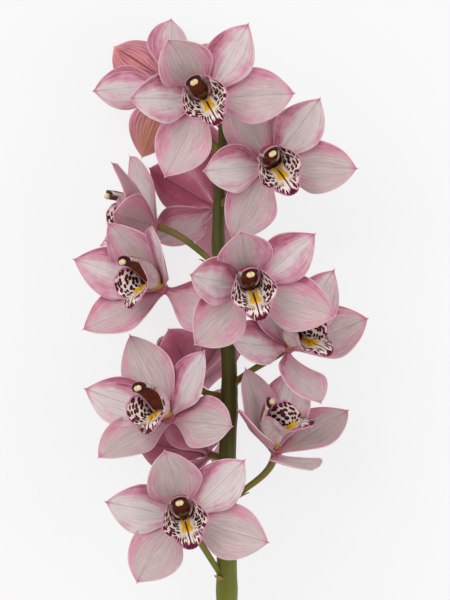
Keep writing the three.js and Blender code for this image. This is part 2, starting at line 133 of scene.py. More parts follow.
BLOOMS = {
    "a": plan(
        (-11.1, 117.5, 38), (-3, -2, 31), (104, 8, 10),
        stand(46), stand(18), stand(38, 2), stand(12, -4), stand(17), rosy=0.05,
    ),
    "b": plan(
        (-34.4, 130.5, -7), (-165, 5, -49), (88, 14, 14),
        stand(53, warm=0.95), stand(36, -13, 0.94, pale=0.9), stand(40, pale=0.8),
        stand(14, -7, 0.9, warm=2.0), stand(12),
    ),
    "c": plan(
        (27.9, 80.2, 14), (8, -6, 31), (56, 14, 14),
        stand(12, curl=2), stand(26), stand(32), stand(21, size=0.97), stand(22, 4), rosy=-0.08,
    ),
    # Painted light: the backs of D's right petal and right sepal are made paler where the light falls on
    # them from above
    "d": plan(
        (-43, 45, -17), (-76, 16, 15), (18, 14, 14),
        stand(26, -20), stand(51, -10, pale=0.35), stand(23, -34), stand(46, -12, 0.94, pale=0.5),
        stand(27, -17),
    ),
    "e": plan(
        (-5.5, 57.1, -20), (-172, 20, -70), (38, 10, 8),
        stand(42), stand(28, pale=0.7), stand(15), stand(36, hook=-75, pale=0.3), stand(38, curl=-30),
    ),
    "f": plan(
        (-36.9, 6.6, 15), (-46, 12, 17), (-2, 14, 14),
        stand(50, -8), stand(46, -6), stand(46, 3, 1.08), stand(-16, 4, 0.95, curl=-4),
        stand(38, 3, 1.02), rosy=0.14,
    ),
    "g": plan(
        (14.7, 7.0, 34), (4, -3, 14), (-26, 14, 14),
        stand(50, curl=20), stand(22), stand(44), stand(17), stand(31, 3), rosy=0.1,
    ),
    "h": plan(
        (37.6, -28.7, 6), (34, 23, 32), (-52, 14, 14),
        stand(30), stand(32, 4, 1.05), stand(15, 4), stand(30, -11), stand(30, -18, 0.96, sway=-25),
        rosy=0.05,
    ),
    "i": plan(
        (30.5, -90.2, 6), (22, 58, 55), (-122, 14, 14),
        stand(55, 18, 1.04), stand(42, 18, 1.03), stand(47, 11), stand(23, 7, 1.02), stand(25, -5, 0.96),
        rosy=-0.06,
    ),
    "j": plan(
        (-32.7, -70.2, 12), (-34, 18, 21), (-66, 14, 14),
        stand(33, -4, 1.05), stand(22, -2, 0.96), stand(32, 4, 1.04), stand(12, -4),
        stand(37, 3, 0.97, sway=-20), rosy=-0.06,
    ),
    "k": plan(
        (-23.6, -128.4, 28), (0, 4, 16), (-172, 14, 14),
        stand(41), stand(21), stand(27), stand(17), stand(31, -3, sway=-20), rosy=-0.1,
    ),
    "l": plan(
        (-18.9, -49.9, -20), (-140, 35, -42), (-62, 14, 14),
        stand(10, size=0.9), stand(8), stand(8), stand(32), stand(24),
    ),
    "m": plan(
        (-10.4, -93.8, -19), (-125, 10, -20), (-104, 12, 8),
        stand(25, 25, 0.9), stand(25), stand(20), stand(30), stand(20),
    ),
}

# ---------------- small helpers


def srgb(code):
    """A colour from its usual six-digit code, in the linear values that Blender keeps."""
    parts = [int(code[i:i + 2], 16) / 255 for i in (0, 2, 4)]
    return tuple(p / 12.92 if p <= 0.04045 else ((p + 0.055) / 1.055) ** 2.4 for p in parts)


def clamp01(x):
    return np.clip(x, 0.0, 1.0)


def smooth(low, high, x):
    t = clamp01((np.asarray(x, float) - low) / (high - low))
    return t * t * (3 - 2 * t)


def unit(vectors):
    vectors = np.asarray(vectors, float)
    return vectors / np.linalg.norm(vectors, axis=-1, keepdims=True)


def walk(start, length, heading):
    """A line walked in short straight steps; heading(s) gives unit directions at the shares s of its
    length. Returns a function that gives the points at any shares."""
    ends = np.linspace(0, 1, STEPS + 1)
    steps = heading((np.arange(STEPS) + 0.5) / STEPS) * (length / STEPS)
    points = np.vstack([start, start + np.cumsum(steps, axis=0)])
    return lambda s: np.stack([np.interp(s, ends, points[:, k]) for k in range(3)], axis=-1)


def bezier(points, t):
    a, b, c, d = (np.asarray(p, float) for p in points)
    t = np.asarray(t)[:, None]
    return a * (1 - t) ** 3 + 3 * b * t * (1 - t) ** 2 + 3 * c * t * t * (1 - t) + d * t ** 3


def through(points, count):
    """`count` places on a smooth line through `points` (Catmull-Rom), each point's values alike."""
    points = np.asarray(points, float)
    padded = np.vstack([2 * points[0] - points[1], points, 2 * points[-1] - points[-2]])
    at = np.linspace(0, len(points) - 1, count)
    i = np.minimum(at.astype(int), len(points) - 2)
    t = (at - i)[:, None]
    a, b, c, d = (padded[i + k] for k in range(4))
    bend = (2 * a - 5 * b + 4 * c - d) * t ** 2 + (3 * b - a - 3 * c + d) * t ** 3
    return 0.5 * (2 * b + (c - a) * t + bend)


def bloom_frame(bloom):
    """The bloom's own frame: its right, dorsal and facing directions as rows, and its middle."""
    azimuth, elevation, roll = np.radians(bloom["face"])
    level = math.cos(elevation)
    out = np.array([math.sin(azimuth) * level, math.sin(elevation), math.cos(azimuth) * level])
    upright = unit(np.array([0, 1, 0]) - out * out[1])
    dorsal = upright * math.cos(roll) - np.cross(upright, out) * math.sin(roll)
    return np.array([np.cross(dorsal, out), dorsal, out]), ORIGIN + bloom["at"]


def press(front, back):
    """What rests on the surface is pressed flat there, and keeps its thickness."""
    thickness = np.linalg.norm(front - back, axis=-1)
    front_is_low = front[..., 2] < back[..., 2]
    low = np.maximum(np.minimum(front[..., 2], back[..., 2]), 0.0)
    high = np.maximum(np.maximum(front[..., 2], back[..., 2]), thickness)
    front[..., 2] = np.where(front_is_low, low, high)
    back[..., 2] = np.where(front_is_low, high, low)


class Form:
    """Points, faces and painted values gathered into one mesh. `placed` is the frame its points are
    given in."""

    def __init__(self, value_names, placed=(np.eye(3), np.zeros(3))):
        self.placed = placed
        self.points = []
        self.faces = []
        self.values = {name: [] for name in value_names}
        self.count = 0

    def add(self, points, **values):
        """Adds a tube by its grid of points, or a blade by its front and back grids. Each value is
        one number or spreads over the grid."""
        basis, middle = self.placed
        points = points @ basis + middle
        grid = points.shape[:-1]
        *sheets, rows, columns = grid
        faces = (blade_faces if sheets else tube_faces)(rows, columns)
        if sheets:
            press(*points)
        for name, kept in self.values.items():
            kept.append(np.broadcast_to(values.get(name, 0.0), grid).ravel())
        self.faces.extend([i + self.count for i in face] for face in faces)
        self.points.append(points.reshape(-1, 3))
        self.count += len(self.points[-1])

    def piece(self, name, finish, node):
        """Makes the object, which stands for the CAD node and rides on the stem."""
        mesh = bpy.data.meshes.new(name)
        mesh.from_pydata((np.concatenate(self.points) * MM).tolist(), [], self.faces)
        for key, values in self.values.items():
            attribute = mesh.attributes.new(key, "FLOAT", "POINT")
            attribute.data.foreach_set("value", np.concatenate(values).astype(np.float32))
        mesh.shade_smooth()
        mesh.materials.append(finish)
        made = bpy.data.objects.new(name, mesh)
        bpy.context.scene.collection.objects.link(made)
        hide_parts(node)
        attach(made, "root")


def blade_faces(rows, columns):
    """Faces of a thin blade: a grid of front points, and a like grid of back points after it."""
    index = np.arange(rows * columns).reshape(rows, columns)
    back = rows * columns
    corners = [index[:-1, :-1], index[1:, :-1], index[1:, 1:], index[:-1, 1:]]
    quads = np.stack([c.ravel() for c in corners], axis=1)
    rim = np.concatenate([index[:, 0], index[-1, 1:], index[-2::-1, -1], index[0, -2:0:-1]])
    ahead = np.roll(rim, -1)
    edges = np.stack([rim, rim + back, ahead + back, ahead], axis=1)
    return np.concatenate([quads, quads[:, ::-1] + back, edges]).tolist()


def turns(sides):
    """The angles of the points round a ring."""
    return 2 * np.pi * np.arange(sides) / sides


def rings(points, radii, sides, swell=1.0):
    """Rings of points round a line, with one radius for each point, or one across and one upwards,
    times `swell`. Returns the rings and their side, up and forward directions."""
    points = np.asarray(points, float)
    ahead = np.vstack([points[1:], points[-1]])
    behind = np.vstack([points[0], points[:-1]])
    forward = unit(ahead - behind)
    side = np.zeros_like(points)
    last = np.array([1.0, 0.0, 0.0])
    for i, along in enumerate(forward):
        last = unit(last - along * last.dot(along))
        side[i] = last
    up = np.cross(forward, side)
    radii = np.asarray(radii, float).reshape(len(points), -1)
    wide = radii[:, :1] * np.cos(turns(sides)) * swell
    high = radii[:, -1:] * np.sin(turns(sides)) * swell
    ring = points[:, None] + side[:, None] * wide[..., None] + up[:, None] * high[..., None]
    return ring, (side, up, forward)


def tube_faces(count, sides):
    """Faces of a closed tube of `count` rings, with a flat cap at each end."""
    index = np.arange(count * sides).reshape(count, sides)
    ahead = np.roll(index, -1, axis=1)
    quads = np.stack([index[:-1], ahead[:-1], ahead[1:], index[1:]], axis=-1).reshape(-1, 4)
    return [*quads.tolist(), index[0][::-1].tolist(), index[-1].tolist()]


# ---------------- shader expressions


class Value:
    """An output of a shader node. Python's arithmetic on it adds Math nodes."""

    def __init__(self, finish, output):
        self.finish = finish
        self.output = output

    def math(self, operation, *others):
        return self.finish.math(operation, self, *others)

    def __add__(self, other):
        return self.math("ADD", other)

    def __sub__(self, other):
        return self.math("SUBTRACT", other)

    def __mul__(self, other):
        return self.math("MULTIPLY", other)

    def __truediv__(self, other):
        return self.math("DIVIDE", other)

    def __abs__(self):
        return self.math("ABSOLUTE")

    def __rsub__(self, other):
        return self.finish.math("SUBTRACT", other, self)

    def __rtruediv__(self, other):
        return self.finish.math("DIVIDE", other, self)

    __radd__ = __add__
    __rmul__ = __mul__

    def between(self, low, high):
        """0 below `low`, 1 above `high` and smooth between them; falls where `low` is the larger."""
        span = (low, high, 0.0, 1.0) if low < high else (high, low, 1.0, 0.0)
        smoothly = {"interpolation_type": "SMOOTHSTEP"}
        return self.finish.node("ShaderNodeMapRange", smoothly, [self, *span])

    def clamped(self):
        return self.finish.node("ShaderNodeClamp", {}, [self, 0.0, 1.0])


class Finish:
    """A material under construction."""

    def __init__(self, name):
        self.material = bpy.data.materials.new(name)
        self.material.use_nodes = True
        self.tree = self.material.node_tree
        self.tree.nodes.clear()

    def node(self, kind, settings, sockets, output=0):
        """Adds a node: its settings first, then the values or links of its sockets."""
        made = self.tree.nodes.new(kind)
        for key, value in settings.items():
            setattr(made, key, value)
        for key, value in sockets.items() if isinstance(sockets, dict) else enumerate(sockets):
            socket = made.inputs[key]
            if isinstance(value, Value):
                self.tree.links.new(value.output, socket)
            elif socket.type == "RGBA":
                socket.default_value = (*value[:3], 1.0)
            else:
                socket.default_value = value
        return Value(self, made.outputs[output])

    def math(self, operation, *inputs):
        return self.node("ShaderNodeMath", {"operation": operation}, inputs)

    def attributes(self, names):
        """The values painted on the mesh under these names."""
        kind = "ShaderNodeAttribute"
        return [self.node(kind, {"attribute_name": name}, {}, "Fac") for name in names]

    def place(self):
        """Places on the object, in metres."""
        return self.node("ShaderNodeTexCoord", {}, {}, "Object")

    def vector(self, x, y, z=0.0):
        return self.node("ShaderNodeCombineXYZ", {}, [x, y, z])

    def noise(self, at, scale, detail=2.0, roughness=0.5):
        return self.node(
            "ShaderNodeTexNoise", {"noise_dimensions": "3D"},
            {"Vector": at, "Scale": scale, "Detail": detail, "Roughness": roughness},
        )

    def streaks(self, x, y, z, detail=2.0):
        """Uneven from -0.5 to 0.5; the larger a factor in x, y or z, the finer along it."""
        return self.noise(self.vector(x, y, z), 1.0, detail) - 0.5

    def cells(self, at, randomness):
        """How far each place is from the middle of its cell."""
        return self.node(
            "ShaderNodeTexVoronoi", {"voronoi_dimensions": "2D", "feature": "F1"},
            {"Vector": at, "Scale": 1.0, "Randomness": randomness}, "Distance",
        )

    def mix(self, share, a, b):
        """Colour a where share is 0 or less, and colour b where it is 1 or more."""
        return self.node("ShaderNodeMix", {"data_type": "RGBA"}, {0: share, 6: a, 7: b}, 2)

    def bump(self, height, strength, distance):
        return self.node(
            "ShaderNodeBump", {}, {"Height": height, "Strength": strength, "Distance": distance}, "Normal"
        )

    def surface(self, flesh=(), **sockets):
        """Ends the material in a Principled shader; a socket's name is written with underscores.
        `flesh` is how much light passes under the skin, how far each colour goes, and its scale."""
        named = {key.replace("_", " "): value for key, value in sockets.items()}
        named.update(zip(("Subsurface Weight", "Subsurface Radius", "Subsurface Scale"), flesh))
        shader = self.node("ShaderNodeBsdfPrincipled", {}, named)
        out = self.tree.nodes.new("ShaderNodeOutputMaterial")
        self.tree.links.new(shader.output, out.inputs["Surface"])
        return self.material


# ---------------- settings


def colour(name, description, code):
    return FloatVectorProperty(
        name=name, description=description, subtype="COLOR", size=3, min=0.0, max=1.0, default=srgb(code)
    )


def amount(name, description, default, low=0.0, high=100.0, unit="NONE"):
    return FloatProperty(
        name=name, description=description, default=default, min=low, max=high, unit=unit
    )


def size(name, description, default, low, high):
    return amount(name, description, default, low, high, "LENGTH")


def number(name, description, default, low, high):
    return IntProperty(name=name, description=description, default=default, min=low, max=high)


class TepalSettings(PropertyGroup):
    thickness: size("Thickness", "Thickness of a sepal or petal at its midrib", 1.0 * MM, 0.0002, 0.003)
    margin: size("Margin", "Thickness of a sepal or petal at its edge", 0.45 * MM, 0.0001, 0.002)
    wave: size("Wave", "How far the edges wave", 0.7 * MM, 0.0, 0.003)
    rows: number("Rows", "Steps along a sepal or petal", 44, 6, 96)
    columns: number("Columns", "Steps across a sepal or petal", 24, 4, 64)
    centre: colour("Centre", "Pale middle of a petal", "D6CCCB")
    sepal: colour("Sepal centre", "Warmer middle of a sepal", "B8A3A1")
    pink: colour("Pink", "Flushed edges", "CC8AA0")
    # Deepest pink near the foot: partly the petal's own colour, partly painted shade near the column
    deep_pink_and_shade: colour("Deep pink", "Deepest flush, near the foot of a petal", "A44A68")
    vein: colour("Vein", "Veins in the pale middle", "9A877F")
    tip: colour("Tip", "The small pointed tip", "B26A82")
    # Pale colour of fine streaks, and of the painted highlight along every tepal edge
    rim: colour("Rim", "Thin bright rim", "E4D0D4")
    back: colour("Back", "Backs of the tepals", "AC546C")
    rib: colour("Rib", "Midrib on the backs", "6E2A3E")
    aged: colour("Aged", "What the oldest bloom turns to", "D98A86")
    withered: colour("Withered", "Brown of a fading tepal", "B4845C")


class LipSettings(PropertyGroup):
    thickness: size("Thickness", "Thickness of the lip", 0.9 * MM, 0.0002, 0.003)
    keel: size("Keel height", "Height of the two keels on the lip", 1.7 * MM, 0.0, 0.004)
    rows: number("Rows", "Steps along the lip", 54, 8, 96)
    columns: number("Columns", "Steps across the lip", 56, 8, 96)
    ground: colour("Ground", "Cream ground of the lip", "E4D4CA")
    spot: colour("Spots", "Maroon spots", "560424")
    dark_spot: colour("Dark spots", "Spots near the throat", "2C0814")
    edge: colour("Edge", "Mauve-pink edge", "C4849E")
    keel_colour: colour("Keels", "Yellow keels", "DBA80E")
    throat: colour("Throat", "Dark throat behind the keels", "522320")
    outside: colour("Outside", "Outer face of the lip", "CFC4BC")
    foot: colour("Foot", "Ochre foot of the outer face", "BC9638")


class ColumnSettings(PropertyGroup):
    hood: size("Hood", "How far the hood reaches over the anther", 2.6 * MM, 0.0, 0.004)
    side: colour("Sides", "Greenish white sides", "CBC6B8")
    foot: colour("Foot", "Ochre foot", "B98A28")
    patch: colour("Patch", "Crimson on top, near the hood", "93304A")
    under: colour("Underside", "Brown underside", "70341E")
    hood_inside: colour("Inside of the hood", "Dark maroon round the anther", "481222")
    anther: colour("Anther", "Cream anther cap", "DCCB9C")
    # Colour of the cap's seam and uneven tone, and of painted shade towards the cap's foot under the hood
    anther_seam_and_shade: colour("Anther seam", "Seam of the cap", "C4A55A")


class StemSettings(PropertyGroup):
    high: colour("Upper stem", "Dark olive of the stem among the blooms", "454510")
    low: colour("Lower stem", "Lighter green of the lower stem", "70741E")
    pedicel: colour("Pedicel", "Olive of the flower stalks", "7A7626")
    ovary: colour("Ovary", "Brown-green of the ovaries", "7C6E35")
    bract: colour("Bract", "Dry brown bracts", "A07850")
    cut: colour("Cut", "Pale green of the cut end", "C3CC96")


class StageSettings(PropertyGroup):
    floor: colour("Floor", "Plain pale surface", "707070")
    glow: amount("Glow", "How bright the surface is by itself", 0.75)
    distance: size("Camera height", "Camera above the stem's axis", 1.5, 0.2, 5.0)
    lens: amount("Lens", "Focal length in millimetres", 150.0, 20.0, 300.0)
    key: amount("Key light", "Power of the brighter soft light", 16.0, unit="POWER")
    fill: amount("Fill light", "Power of the opposite light", 6.0, unit="POWER")
    sky: amount("Surround", "Strength of the even light all round", 0.75)


# ---------------- tepals

TEPAL_VALUES = ("along", "across", "edge", "flush", "half", "reverse", "draw", "warm", "sepal")
CROWDING = 1.15  # the rows crowd towards the tip
HOOK_FROM = 0.7  # share of the length where a hooked tip sets in
SWAY_PIVOT = 0.35  # share of the length where a swaying blade points straight out
CREASE = {"depth": 0.35, "width": 1.1}
WAVES = (1.2, 1.9)  # fewest and most waves along an edge
PINCH = 0.10  # how far the edges of the tip rise, as a share of its half width
TIP_THINNING = 0.45
VEINS = {"main": (7.0, 0.8), "thin": (17.0, 0.42)}  # how many on each side, and their half width


def tepal_half_width(form, u):
    """Half the width at the shares u of the length, as in the solids."""
    body = clamp01(u / (1 - TIP_POINT))
    waist, widest = form["waist"], form["widest"]
    rise = waist + (1 - waist) * np.sin(np.pi / 2 * clamp01(body / widest)) ** 1.6
    past = clamp01((body - widest) / (1 - widest))
    fall = (1 - past ** 1.95) ** form["blunt"]
    point = TIP_HALF_WIDTH * np.clip((1 - u) / (2 * TIP_POINT), 0.23, 1)
    return np.maximum(form["width"] / 2 * np.where(body < widest, rise, fall), point)


def flush(name, u, v):
    """How pink a tepal's face is: along its edges, most on the half nearer the dorsal sepal and
    towards the foot, and at the tip. Towards the foot the pink is partly the tepal's own and partly
    painted shade near the column."""
    towards_dorsal = {"_r": -v, "_l": v}.get(name[-2:], np.abs(v) * 0.4)
    petal = name.startswith("petal")
    edge = smooth(0.05, 0.95, np.abs(v))
    lean = 0.45 + 0.55 * smooth(-0.2, 0.8, towards_dorsal)
    along = 0.55 + 0.45 * smooth(1.0, 0.5, u)
    # Painted shade: the deeper pink at the foot, most on the dorsal side, stands partly for shade near the
    # column
    foot = 0.75 * smooth(0.42, 0.04, u) * (0.4 + 0.6 * smooth(-0.5, 0.6, towards_dorsal))
    tip = 0.35 * smooth(0.84, 1.0, u)
    near_half = 0.2 * smooth(-0.05, 0.6, towards_dorsal) * smooth(0.95, 0.55, u) * petal
    return clamp01(edge * lean * along * (1.0 if petal else 0.72) + foot + tip + near_half)


def add_tepal(made, name, pose, rosy, settings, draw):
    form = pose["form"]
    length = form["length"] * pose["size"]
    u = 1 - (1 - np.linspace(0, 1, settings.rows + 1)) ** CROWDING
    v = np.linspace(-1, 1, settings.columns + 1)

    def tilt(s):
        hook = pose.get("hook", 0) * clamp01((s - HOOK_FROM) / (1 - HOOK_FROM)) ** 2
        return np.radians(pose["lean"] + pose["curl"] * (s - 0.5) + hook)

    def veer(s):
        return np.radians(pose.get("sway", 0) * (s - SWAY_PIVOT))

    def heading(s):
        level = np.stack([np.cos(veer(s)), np.sin(veer(s))], axis=-1) * np.cos(tilt(s))[..., None]
        return np.concatenate([level, np.sin(tilt(s))[..., None]], axis=-1)

    midrib = walk(np.array([ROOT_RADIUS, 0, form["foot"]]), length, heading)(u)
    across = np.stack([-np.sin(veer(u)), np.cos(veer(u)), np.zeros_like(u)], axis=-1)
    face = np.cross(heading(u), across)
    half = tepal_half_width(form, u)[:, None] * pose["size"]
    bend = math.radians(form["cup"]) / (form["width"] / 2 * pose["size"])
    arc = (half * v * bend)[..., None]
    middle = midrib[:, None] + across[:, None] * np.sin(arc) / bend
    middle = middle + face[:, None] * (1 - np.cos(arc)) / bend
    normal = face[:, None] * np.cos(arc) - across[:, None] * np.sin(arc)

    # The crease along the midrib, the waved edges and the pinched tip.
    rows = u[:, None]
    crease = -CREASE["depth"] * np.exp(-(half * v / CREASE["width"]) ** 2)
    crease = crease * smooth(0.0, 0.12, rows) * smooth(1.0, 0.9, rows)
    beat = draw.uniform(*WAVES)
    shift = np.where(v < 0, draw.random(), draw.random())
    wave = settings.wave / MM * np.sin(2 * np.pi * (beat * rows + shift)) * np.abs(v) ** 3
    wave = wave * smooth(0.08, 0.4, rows) * smooth(1.0, 0.8, rows)
    pinch = PINCH * half * v ** 2 * smooth(0.86, 0.97, rows)
    middle = middle + normal * (crease + wave + pinch)[..., None]

    rim = settings.margin / settings.thickness
    thick = settings.thickness / MM / 2 * (rim + (1 - rim) * (1 - v ** 2))
    lift = normal * (thick * (1 - TIP_THINNING * smooth(0.8, 1.0, rows)))[..., None]
    angle = math.radians(pose["angle"] + pose["turn"])
    sine, cosine = math.sin(angle), math.cos(angle)
    local = np.array([[sine, cosine, 0], [cosine, -sine, 0], [0, 0, 1]])
    made.add(
        np.stack([middle + lift, middle - lift]) @ local, along=rows, across=v, half=half,
        edge=np.minimum((1 - np.abs(v)) * half, (1 - rows) * length + TIP_EDGE),
        flush=flush(name, rows, v) * (1 + draw.uniform(-0.12, 0.12)) + rosy,
        reverse=ON_BACK * (1.0 - pose.get("pale", 0.0)),
        draw=draw.random(), warm=pose.get("warm", 0.0), sepal=float(name not in ("petal_r", "petal_l")),
    )


RECEPTACLE_PROFILE = [(-2.0, 2.9), (-1.6, 3.3), (0.0, 3.7), (1.6, 3.8), (2.1, 3.2), (2.2, 1.2)]
RECEPTACLE_SIDES = 24


def add_receptacle(made):
    line = [(0, 0, z) for z, _ in RECEPTACLE_PROFILE]
    ring, _ = rings(line, [r for _, r in RECEPTACLE_PROFILE], RECEPTACLE_SIDES)
    made.add(ring, along=0.0, across=0.6, edge=3.0, flush=0.8, half=3.0, reverse=1.0)


def tepal_finish(look):
    finish = Finish("tepal_skin")
    mix = finish.mix
    along, across, edge, pink, half, reverse, draw, warm, sepal = finish.attributes(TEPAL_VALUES)

    # Places on the blade: in millimetres, and drawn out along the veins, moved on for each tepal.
    place = finish.vector(along * 50.0, across * half, draw * 97.0)
    broad = finish.streaks(along * 3.0, across * 7.0, draw * 61.0)
    fine = finish.streaks(along * 5.0, across * 24.0, draw * 83.0, 3.0)
    mottle = finish.noise(place, 0.16, 2.0) - 0.5
    wobble = finish.streaks(along * 4.0, across * 3.0, draw * 31.0)

    # Soft veins on each side of the midrib.
    def veins(count, width):
        turned = across * count + wobble * (count * 0.08)
        away = abs(turned - turned.math("ROUND")) / count * half
        return away.between(width, width * 0.1)

    main = veins(*VEINS["main"])
    thin = veins(*VEINS["thin"])
    rib = abs(across * half).between(0.9, 0.1)
    faded = (broad + 0.5).between(0.35, 0.65)
    lines = (main * 0.5 + thin * 0.35) * (faded * 0.7 + 0.3) * half.between(2.0, 7.0)
    lines = (lines + rib * 0.45) * along.between(0.02, 0.2) * along.between(0.98, 0.75)

    # Pink flush with streaks and mottle; near the foot it is partly painted shade by the column
    blush_and_shade = (pink + broad * 0.85 + fine * 0.45 + mottle * 0.75).clamped()
    middle = mix(sepal * (0.75 - broad * 1.2), look.centre, look.sepal)
    face = mix(blush_and_shade.between(0.03, 0.6), middle, look.pink)
    # Deepest pink where the flush is strongest, partly painted shade near the column
    face = mix(blush_and_shade.between(0.5, 1.0), face, look.deep_pink_and_shade)
    face = mix(lines * (0.38 - blush_and_shade * 0.25), face, look.vein)
    face = mix(fine * 2.0, face, look.rim)
    face = mix((fine * -1.6).clamped() * 0.5, face, look.vein)
    tip = along.between(0.88, 1.0) * 0.7 + rib * along.between(0.65, 0.95) * 0.45
    face = mix(tip, face, look.tip)

    # The backs are deep rose along the midrib and pale towards the edges.
    ribbed = (rib * 0.7 + lines * 0.45 + abs(across).between(0.45, 0.0) * 0.5).clamped()
    ribbed = ribbed * along.between(1.0, 0.6)
    pale = abs(across).between(0.3, 1.0) * 0.8 + mottle * 0.8 + broad + fine * 0.6
    outer = mix(pale, look.back, look.pink)
    outer = mix(ribbed * 0.75, outer, look.rib)
    both = mix(reverse, face, outer)
    # A faded tepal turns salmon, with darker veins, and then brown in the middle.
    old = mix(across.between(0.1, -0.6) * 0.6, look.aged, look.pink)
    old = mix(lines * 1.3, old, look.rib)
    brown = (abs(across + 0.1) + mottle * 0.8).between(0.8, 0.1) * along.between(0.15, 0.7)
    old = mix(warm.between(1.0, 2.0) * brown * 0.65, old, look.withered)
    both = mix(warm * (0.8 + mottle * 0.8), both, old)
    # Painted highlight: a thin bright line along every edge, on front and back
    both = mix(edge.between(0.6, 0.1) * 0.55, both, look.rim)

    ridges = main * 0.5 + thin * 0.3 + finish.noise(place, 2.2, 3.0) * 0.35 + mottle * 6.0 + fine * 1.5
    return finish.surface(
        Base_Color=both, Roughness=0.52 - blush_and_shade * 0.08,
        Normal=finish.bump(ridges, 0.3, 0.00025),
        flesh=(0.22, (1.0, 0.45, 0.4), 0.0016),
        Sheen_Weight=0.1, Sheen_Roughness=0.4, Specular_IOR_Level=0.35,
    )


# ---------------- lips

LIP_VALUES = ("flat_x", "flat_y", "edge", "keel", "reverse", "draw")
SECTION_STEPS = 80  # straight steps from the middle of the lip to its edge
SPREADING = 1.35  # the columns crowd towards the middle
FRILL = 0.7
KEEL_HALF_WIDTH = 0.85
KEEL_SWELL = 0.35  # how much higher the keels are near their front ends


def lip_half_width(u):
    sides = LIP["claw_half_width"] + LIP["side_lobe"] * smooth(0.04, 0.46, u)
    taper = (np.maximum(u - 0.62, 0) / 0.385) ** 1.5
    front = LIP["front_lobe"] * np.sqrt(clamp01(1 - taper))
    share = smooth(0.55, 0.73, u)
    return np.maximum(sides * (1 - share) + front * share, 0.35)


def lip_dip(s):
    return np.radians(4 + 36 * smooth(0.2, 0.45, s) + 46 * smooth(0.66, 0.96, s))


def lip_section(u, half, shares):
    """Places across the lip at one row: (x, y) for each share of its half width, and the slopes."""
    bend = 6.5 + 4 * smooth(0.04, 0.25, u) + 9 * smooth(0.34, 0.58, u)  # how far out it turns up
    flat = smooth(0.56, 0.84, u)
    places = np.linspace(0, 1, SECTION_STEPS + 1)
    out = places * half
    scoop = 84 * smooth(0, bend, out) + 15 * smooth(12, 22, out)
    rise = np.radians(scoop * (1 - flat) - 18 * smooth(3, 13, out) * flat)
    step = half / SECTION_STEPS
    middle = (rise[1:] + rise[:-1]) / 2
    x = np.concatenate([[0], np.cumsum(np.cos(middle) * step)])
    y = np.concatenate([[0], np.cumsum(np.sin(middle) * step)])
    return (np.interp(shares, places, value) for value in (x, y, rise))


def add_lip(made, settings, draw):
    u = np.linspace(0, 1, settings.rows + 1)
    spread = np.linspace(-1, 1, settings.columns + 1)
    v = np.sign(spread) * np.abs(spread) ** SPREADING

    def heading(s):
        return np.stack([0 * s, -np.sin(lip_dip(s)), np.cos(lip_dip(s))], axis=-1)

    middle = walk(np.array(LIP["foot"], float), LIP["length"], heading)(u)
    half = lip_half_width(u)[:, None]
    centre = np.zeros((len(u), len(v), 3))
    normal = np.zeros_like(centre)
    right = np.array([1, 0, 0])
    for i, row in enumerate(u):
        x, y, slope = (value[:, None] for value in lip_section(row, half[i], np.abs(v)))
        face = np.array([0, math.cos(lip_dip(row)), math.sin(lip_dip(row))])
        side = np.sign(v)[:, None]
        centre[i] = middle[i] + right * side * x + face * y
        normal[i] = face * np.cos(slope * side) - right * np.sin(slope * side)

    rows = u[:, None]
    flat_x = v * half
    flat_y = rows * LIP["length"]
    beat = 2 * np.pi * (7 * rows + 3.2 * np.abs(v) + draw.random())
    frill = FRILL * np.sin(beat) * smooth(0.7, 1.0, np.abs(v)) * smooth(0.3, 0.5, rows)
    frill = frill * (0.35 + 0.65 * smooth(0.66, 0.8, rows))
    centre = centre + normal * frill[..., None]
    # Two keels run side by side, swell at their front ends and fade on the front lobe.
    apart = 1.3 + 1.3 * smooth(0.5, 0.28, rows) + 0.6 * smooth(0.5, 0.64, rows)
    keels = np.exp(-((np.abs(flat_x) - apart) / KEEL_HALF_WIDTH) ** 2)
    keels = keels * smooth(0.22, 0.34, rows) * smooth(0.70, 0.58, rows)
    keels = keels * (1 + KEEL_SWELL * smooth(0.48, 0.58, rows))

    thick = settings.thickness / MM / 2 * (1 - 0.5 * np.abs(v) ** 4)
    front = centre + normal * (thick + settings.keel / MM * keels)[..., None]
    back = centre - normal * thick[..., None]
    made.add(
        np.stack([front, back]), flat_x=flat_x, flat_y=flat_y, keel=keels, reverse=ON_BACK,
        edge=np.minimum((1 - np.abs(v)) * half, (1 - rows) * LIP["length"] + TIP_EDGE),
        draw=draw.random(),
    )


